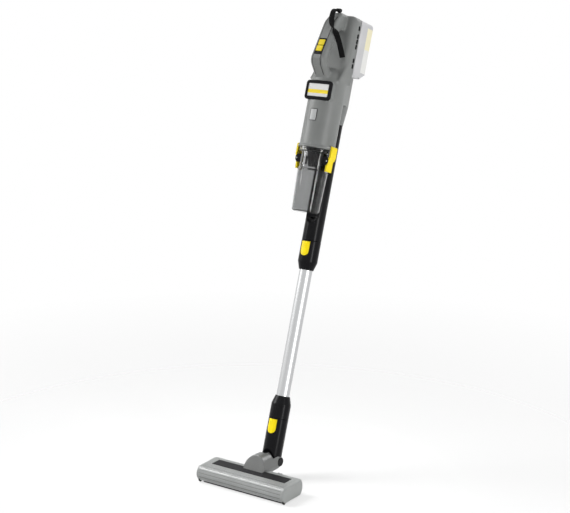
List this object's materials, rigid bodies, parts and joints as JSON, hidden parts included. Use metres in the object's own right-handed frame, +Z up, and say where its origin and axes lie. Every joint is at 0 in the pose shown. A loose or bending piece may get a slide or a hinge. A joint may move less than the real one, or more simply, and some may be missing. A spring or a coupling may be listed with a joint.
{
  "type": "cordless stick vacuum",
  "caption": "Cordless stick vacuum with looped handle, slide-on battery, clear dust cup with clips, bright wand, swivelling neck and floor head with brush roller.",
  "frame": {"origin": "on the floor, in the middle of the rear land of the head's sole plate", "axes": "+Z up, -Y the way the head is pushed, +X to the right in a view along +Y, from in front of the head"},
  "size_m": [0.258, 0.5117, 1.1188],
  "materials": {
    "grey_plastic": "fine matt grain",
    "black_plastic": "satin",
    "yellow_plastic": "semi gloss",
    "charcoal_plastic": "satin",
    "bright_tube": "drawn and polished",
    "clear_plastic": "clear, slightly smoked",
    "window_plastic": "smooth",
    "label_face": "printed sheet, left bare",
    "pack_white": "fine matt grain",
    "pack_cream": "fine matt grain",
    "rubber": "matt",
    "steel": "zinc plated",
    "motor_metal": "plain",
    "cell_wrap": "shrink sleeve",
    "board": "coated",
    "filter_paper": "pleated",
    "bristle": "nylon tufts",
    "webbing": "woven"
  },
  "bodies": {
    "machine": {"housing_left": "grey_plastic", "housing_right": "grey_plastic", "housing_screws": "steel", "vent_grilles": "black_plastic", "handle_cover": "grey_plastic", "switch_frame": "black_plastic", "control_board": "board", "label_bezel": "black_plastic", "label_plate": "label_face", "status_window": "window_plastic", "motor_can": "motor_metal", "motor_ring": "rubber", "container_seal": "rubber", "battery_rail": "black_plastic", "inlet_duct": "black_plastic", "strap_anchor": "black_plastic", "strap_lock": "black_plastic", "wrist_strap": "webbing"},
    "fan": {"motor_shaft": "steel", "impeller": "black_plastic"},
    "power_key": {"power_button": "yellow_plastic"},
    "boost_key": {"boost_button": "yellow_plastic"},
    "battery": {"battery_case": "pack_white", "battery_cover": "pack_cream", "battery_cells": "cell_wrap"},
    "battery_catch": {"battery_latch": "pack_white"},
    "container": {"dust_cup": "clear_plastic", "clip_brackets": "black_plastic", "clip_pins": "steel"},
    "left_clip": {"clip_left": "yellow_plastic"},
    "right_clip": {"clip_right": "yellow_plastic"},
    "filter": {"filter_frame": "black_plastic", "filter_element": "filter_paper"},
    "wand": {"upper_collar": "black_plastic", "wand_tube": "bright_tube", "lower_fitting": "black_plastic"},
    "upper_release": {"upper_release_button": "yellow_plastic"},
    "neck": {"neck_socket": "black_plastic", "neck_hose": "rubber"},
    "lower_release": {"lower_release_button": "yellow_plastic"},
    "yoke": {"swivel_yoke": "grey_plastic", "pivot_pins": "charcoal_plastic"},
    "head": {"head_shell": "grey_plastic", "swivel_nose": "grey_plastic", "top_panel": "charcoal_plastic", "sole_plate": "charcoal_plastic", "end_cap_left": "grey_plastic", "end_cap_right": "grey_plastic", "tail_bracket": "grey_plastic", "drive_belt": "rubber", "wheel_axles": "steel"},
    "brush": {"brush_core": "charcoal_plastic", "brush_bristles": "bristle"},
    "turbine": {"turbine_wheel": "charcoal_plastic"},
    "left_roller": {"front_roller_left": "rubber"},
    "right_roller": {"front_roller_right": "rubber"},
    "left_wheel": {"rear_wheel_left": "rubber"},
    "right_wheel": {"rear_wheel_right": "rubber"}
  },
  "joints": [
    {"name": "wand_pull", "type": "slide", "parent": "machine", "child": "wand", "axis": [0, -0.3173, -0.9483], "range_m": [0, 0.055]},
    {"name": "neck_pull", "type": "slide", "parent": "wand", "child": "neck", "axis": [0, -0.3173, -0.9483], "range_m": [0, 0.055]},
    {"name": "neck_pitch", "type": "hinge", "parent": "neck", "child": "yoke", "pos_m": [0, 0.066, 0.045], "axis": [1, 0, 0], "range_deg": [-15, 60], "deforming": ["neck_hose"]},
    {"name": "head_roll", "type": "hinge", "parent": "yoke", "child": "head", "pos_m": [0, 0, 0.045], "axis": [0, 1, 0], "range_deg": [-35, 35]},
    {"name": "brush_spin", "type": "hinge", "parent": "head", "child": "brush", "pos_m": [0, -0.035, 0.018], "axis": [1, 0, 0], "continuous": true},
    {"name": "turbine_spin", "type": "hinge", "parent": "head", "child": "turbine", "pos_m": [0, -0.001, 0.02], "axis": [1, 0, 0], "continuous": true},
    {"name": "left_roller_spin", "type": "hinge", "parent": "head", "child": "left_roller", "pos_m": [-0.1242, -0.0555, 0.005], "axis": [1, 0, 0], "continuous": true},
    {"name": "right_roller_spin", "type": "hinge", "parent": "head", "child": "right_roller", "pos_m": [0.1242, -0.0555, 0.005], "axis": [1, 0, 0], "continuous": true},
    {"name": "left_wheel_spin", "type": "hinge", "parent": "head", "child": "left_wheel", "pos_m": [-0.02, 0.071, 0.006], "axis": [1, 0, 0], "continuous": true},
    {"name": "right_wheel_spin", "type": "hinge", "parent": "head", "child": "right_wheel", "pos_m": [0.02, 0.071, 0.006], "axis": [1, 0, 0], "continuous": true},
    {"name": "container_off", "type": "slide", "parent": "machine", "child": "container", "axis": [0, -0.5807, -0.8141], "range_m": [0, 0.11]},
    {"name": "left_clip_swing", "type": "hinge", "parent": "container", "child": "left_clip", "pos_m": [-0.0436, 0.25117, 0.75915], "axis": [0, -0.9483, 0.3173], "range_deg": [0, 6]},
    {"name": "right_clip_swing", "type": "hinge", "parent": "container", "child": "right_clip", "pos_m": [0.0436, 0.25117, 0.75915], "axis": [0, 0.9483, -0.3173], "range_deg": [0, 6]},
    {"name": "filter_pull", "type": "slide", "parent": "machine", "child": "filter", "axis": [0, -0.3173, -0.9483], "range_m": [0, 0.045]},
    {"name": "battery_off", "type": "slide", "parent": "machine", "child": "battery", "axis": [0, 0.3173, 0.9483], "range_m": [0, 0.14]},
    {"name": "battery_catch_press", "type": "slide", "parent": "battery", "child": "battery_catch", "axis": [0, -0.3173, -0.9483], "range_m": [0, 0.003], "stiffness_N_per_m": 800},
    {"name": "power_press", "type": "slide", "parent": "machine", "child": "power_key", "axis": [0, 0.8077, -0.5896], "range_m": [0, 0.0015], "stiffness_N_per_m": 1000},
    {"name": "boost_press", "type": "slide", "parent": "machine", "child": "boost_key", "axis": [0, 0.8077, -0.5896], "range_m": [0, 0.0015], "stiffness_N_per_m": 1000},
    {"name": "upper_release_press", "type": "slide", "parent": "wand", "child": "upper_release", "axis": [0, 0.9483, -0.3173], "range_m": [0, 0.002], "stiffness_N_per_m": 1200},
    {"name": "lower_release_press", "type": "slide", "parent": "neck", "child": "lower_release", "axis": [0, 0.9483, -0.3173], "range_m": [0, 0.002], "stiffness_N_per_m": 1200},
    {"name": "fan_spin", "type": "hinge", "parent": "machine", "child": "fan", "pos_m": [0, 0.27465, 0.82932], "axis": [0, 0.3173, 0.9483], "continuous": true}
  ],
  "couplings": [
    {"joint": "turbine_spin", "follows": "brush_spin", "ratio": 1.7778}
  ]
}
